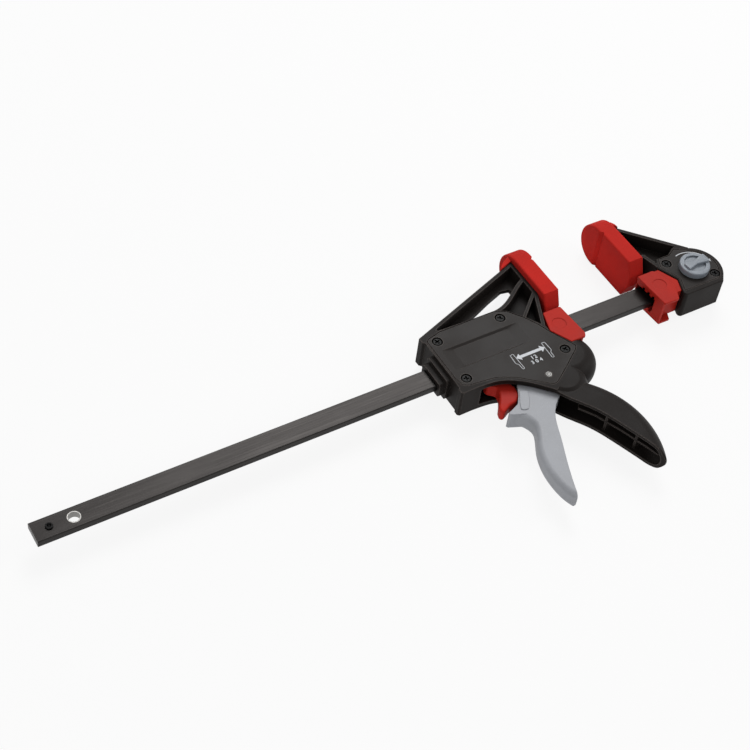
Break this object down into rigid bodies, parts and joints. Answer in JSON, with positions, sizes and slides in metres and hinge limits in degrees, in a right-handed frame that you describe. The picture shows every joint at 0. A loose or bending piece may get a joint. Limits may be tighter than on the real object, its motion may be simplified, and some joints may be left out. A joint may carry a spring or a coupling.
{
  "type": "quick release bar clamp",
  "caption": "One-handed quick release bar clamp: flat steel bar, fixed jaw with lock knob, sliding jaw with trigger, pistol handle and release lever, soft red pads.",
  "frame": {"origin": "centre of the lock hole at the bar's free end, on the bar's middle plane", "axes": "+X along the bar towards the fixed jaw, +Y from the bar towards the jaw pads, +Z through the bar's thickness towards the cover plates"},
  "size_m": [0.4988, 0.1927, 0.0333],
  "materials": {
    "housing": "satin moulded",
    "cover": "satin moulded",
    "pad": "soft moulded",
    "guard": "satin moulded",
    "trigger": "satin moulded",
    "knob": "satin moulded",
    "bar_steel": "dark oxide, drawn",
    "steel": "zinc plated",
    "screw": "black oxide"
  },
  "bodies": {
    "frame": {"bar": "bar_steel", "stop_pin": "steel", "fixed_jaw_body": "housing", "fixed_jaw_lid": "cover", "fixed_jaw_screws": "screw", "fixed_pad": "pad", "fixed_guard": "guard", "lock_sleeve": "steel"},
    "slider": {"slider_body": "housing", "slider_lid": "cover", "slider_lid_screws": "screw", "moving_pad": "pad", "moving_guard": "guard", "trigger_pin": "steel", "brake_spring": "steel", "drive_spring": "steel"},
    "trigger": {"trigger": "trigger"},
    "drive_plates": {"drive_plate_front": "steel", "drive_plate_rear": "steel"},
    "brake": {"brake_plate": "steel", "release_lever": "guard"},
    "lock_knob": {"lock_knob": "knob", "knob_clip": "steel", "lock_spring": "steel"},
    "lock_pin": {"lock_pin": "steel"}
  },
  "joints": [
    {"name": "slider_slide", "type": "slide", "parent": "frame", "child": "slider", "axis": [1, 0, 0], "range_m": [-0.255, 0.056]},
    {"name": "trigger_squeeze", "type": "hinge", "parent": "slider", "child": "trigger", "pos_m": [0.3077, -0.0361, 0], "axis": [0, 0, 1], "range_deg": [0, 22], "stiffness_Nm_per_rad": 0.4, "springref_deg": -14.32},
    {"name": "drive_slide", "type": "slide", "parent": "slider", "child": "drive_plates", "axis": [1, 0, 0], "range_m": [-0.009, 0], "deforming": ["drive_spring"]},
    {"name": "release_pull", "type": "hinge", "parent": "slider", "child": "brake", "pos_m": [0.2754, -0.012, 0], "axis": [0, 0, 1], "range_deg": [0, 9], "stiffness_Nm_per_rad": 0.15, "springref_deg": -17.19},
    {"name": "knob_turn", "type": "hinge", "parent": "frame", "child": "lock_knob", "pos_m": [0.4529, 0, 0], "axis": [0, 0, 1], "range_deg": [0, 90]},
    {"name": "pin_lift", "type": "slide", "parent": "frame", "child": "lock_pin", "axis": [0, 0, 1], "range_m": [0, 0.0075], "deforming": ["lock_spring"]}
  ],
  "couplings": [
    {"joint": "drive_slide", "follows": "trigger_squeeze", "m_per_rad": -0.0225},
    {"joint": "pin_lift", "follows": "knob_turn", "m_per_rad": 0.00464}
  ]
}
